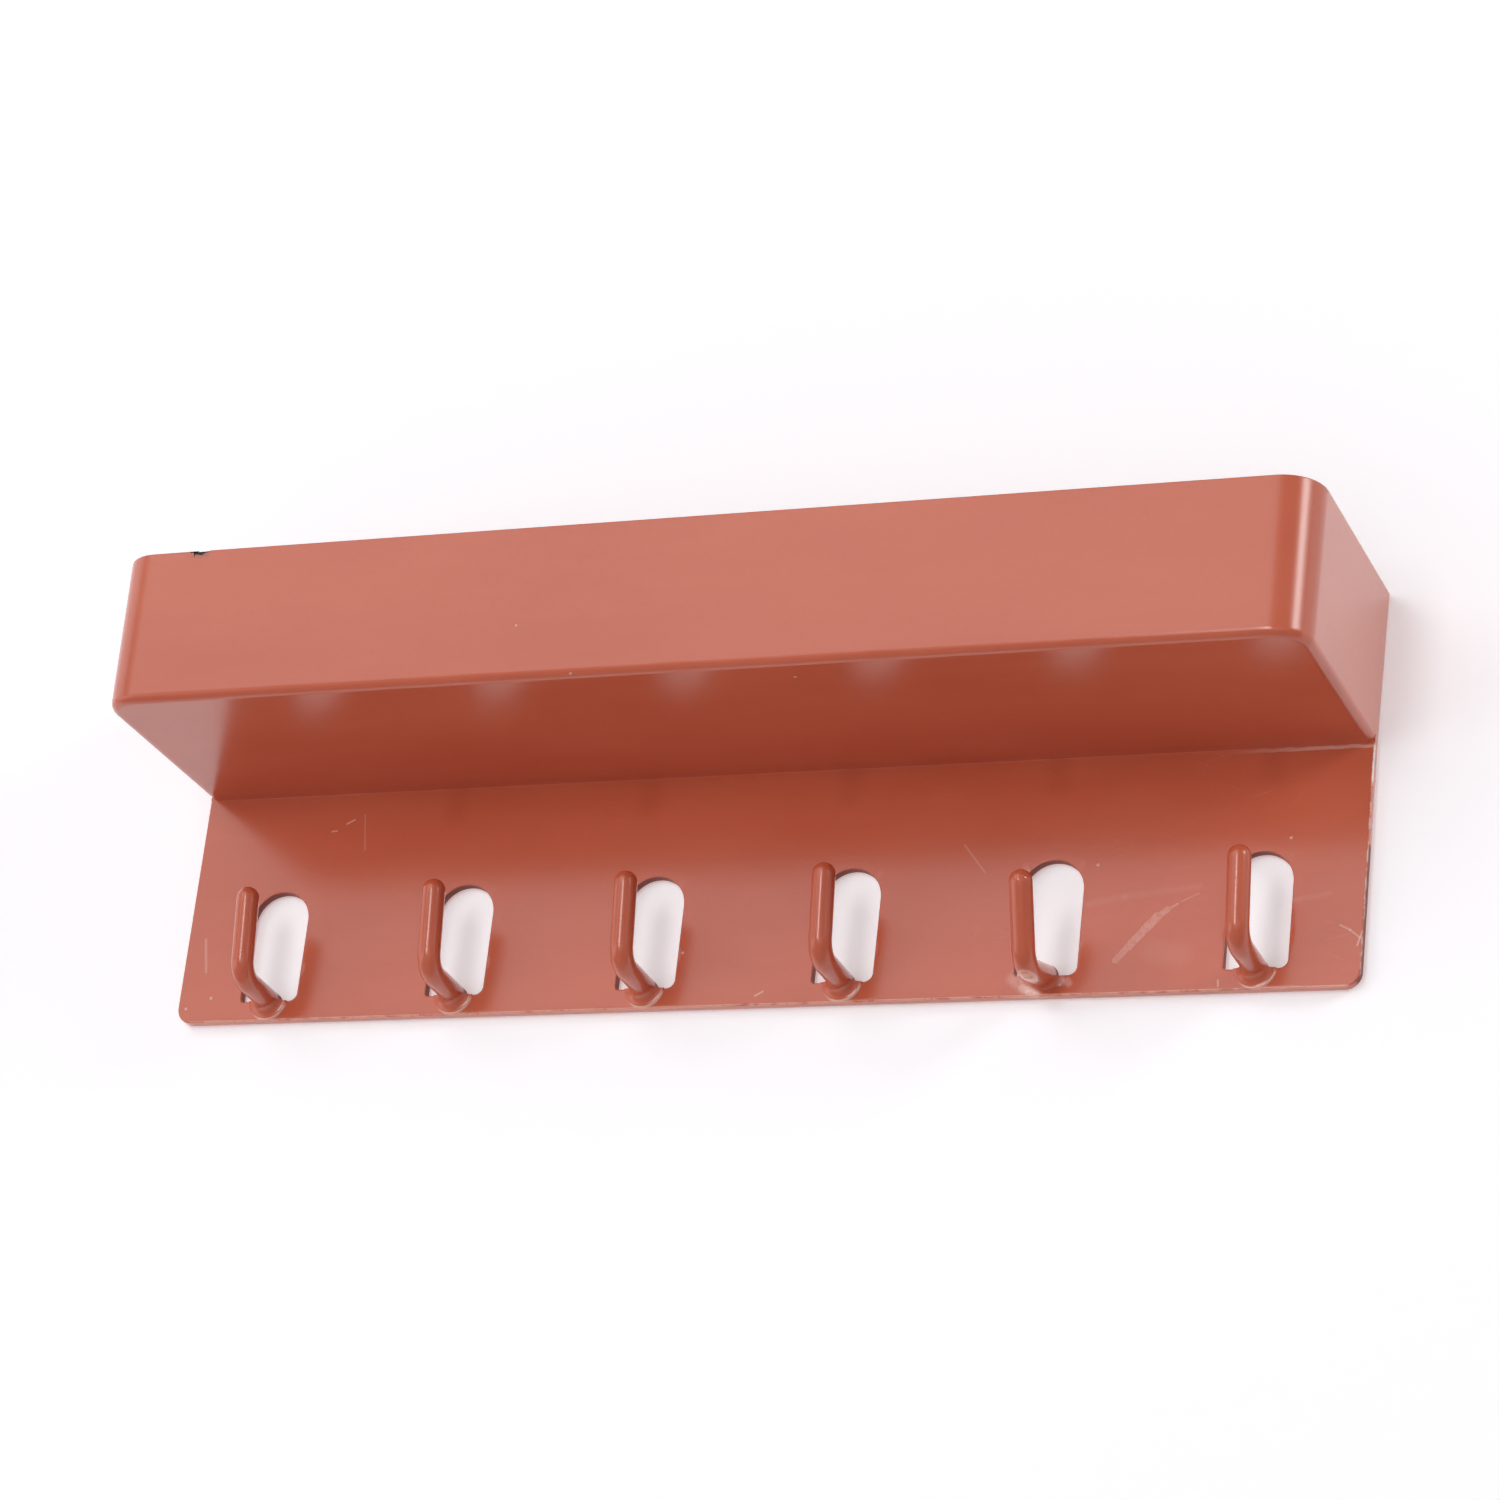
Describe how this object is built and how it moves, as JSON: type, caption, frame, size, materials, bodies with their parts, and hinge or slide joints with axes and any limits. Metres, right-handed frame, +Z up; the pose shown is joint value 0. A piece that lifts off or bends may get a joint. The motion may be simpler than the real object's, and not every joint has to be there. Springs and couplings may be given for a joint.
{
  "type": "wall key holder",
  "caption": "Wall shelf with an open tray above a drop plate and a row of round upturned hooks, one of them bent forward.",
  "frame": {"origin": "on the flat back face, at mid width, level with the tray's underside", "axes": "+X along the shelf to the viewer's right, +Y into the wall, +Z up as it hangs; the front looks towards -Y"},
  "size_m": [0.2404, 0.051, 0.0791],
  "materials": {
    "moulded_plastic": "semi-gloss moulded terracotta plastic with handling scratches, and stress whitening at the bent hook"
  },
  "bodies": {
    "root": {"holder": "moulded_plastic"}
  },
  "joints": []
}
